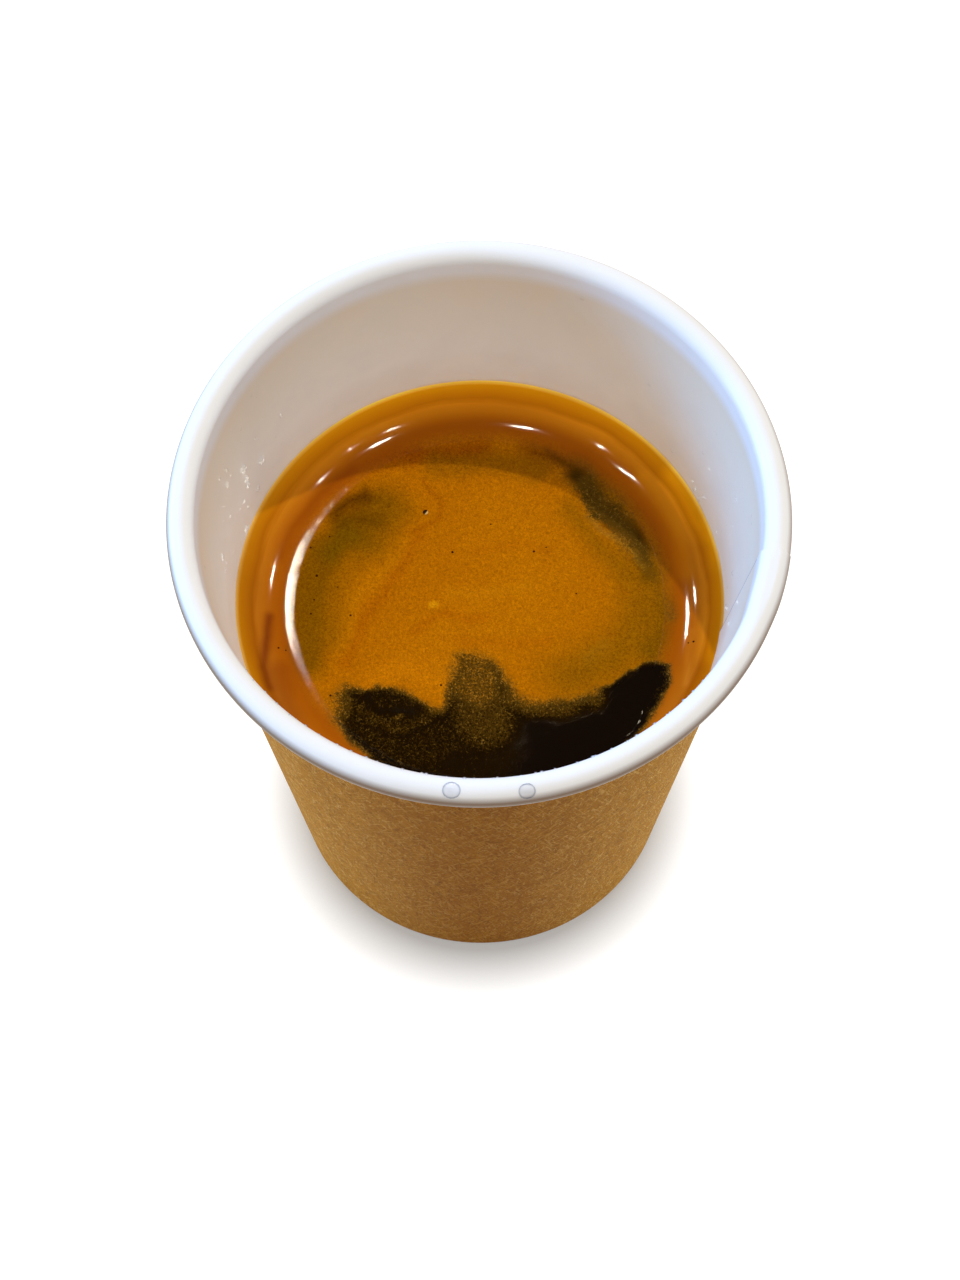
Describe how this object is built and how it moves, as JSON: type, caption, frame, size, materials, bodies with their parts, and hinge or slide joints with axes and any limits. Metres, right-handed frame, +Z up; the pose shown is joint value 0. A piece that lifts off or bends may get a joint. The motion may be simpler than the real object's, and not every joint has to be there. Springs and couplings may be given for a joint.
{
  "type": "americano coffee in a paper cup",
  "caption": "Small black coffee with crema in an open, tapered double-walled paper cup: white inside and rolled lip, brown kraft outside.",
  "frame": {"origin": "middle of the cup's foot, on the table", "axes": "+Z up along the cup's axis; -Y is the side the viewer looks from; +X to the viewer's right"},
  "size_m": [0.08, 0.08, 0.093],
  "materials": {
    "white_board": "coated white board, smooth and slightly glossy",
    "kraft_paper": "uncoated brown kraft paper with short visible fibres, matt",
    "coffee": "black coffee, wet and glossy",
    "crema": "fine amber foam, wet, with darker mottled patches"
  },
  "bodies": {
    "root": {"inner_cup": "white_board", "cup_base": "white_board", "kraft_wrap": "kraft_paper", "coffee": "coffee", "crema": "crema"}
  },
  "joints": []
}
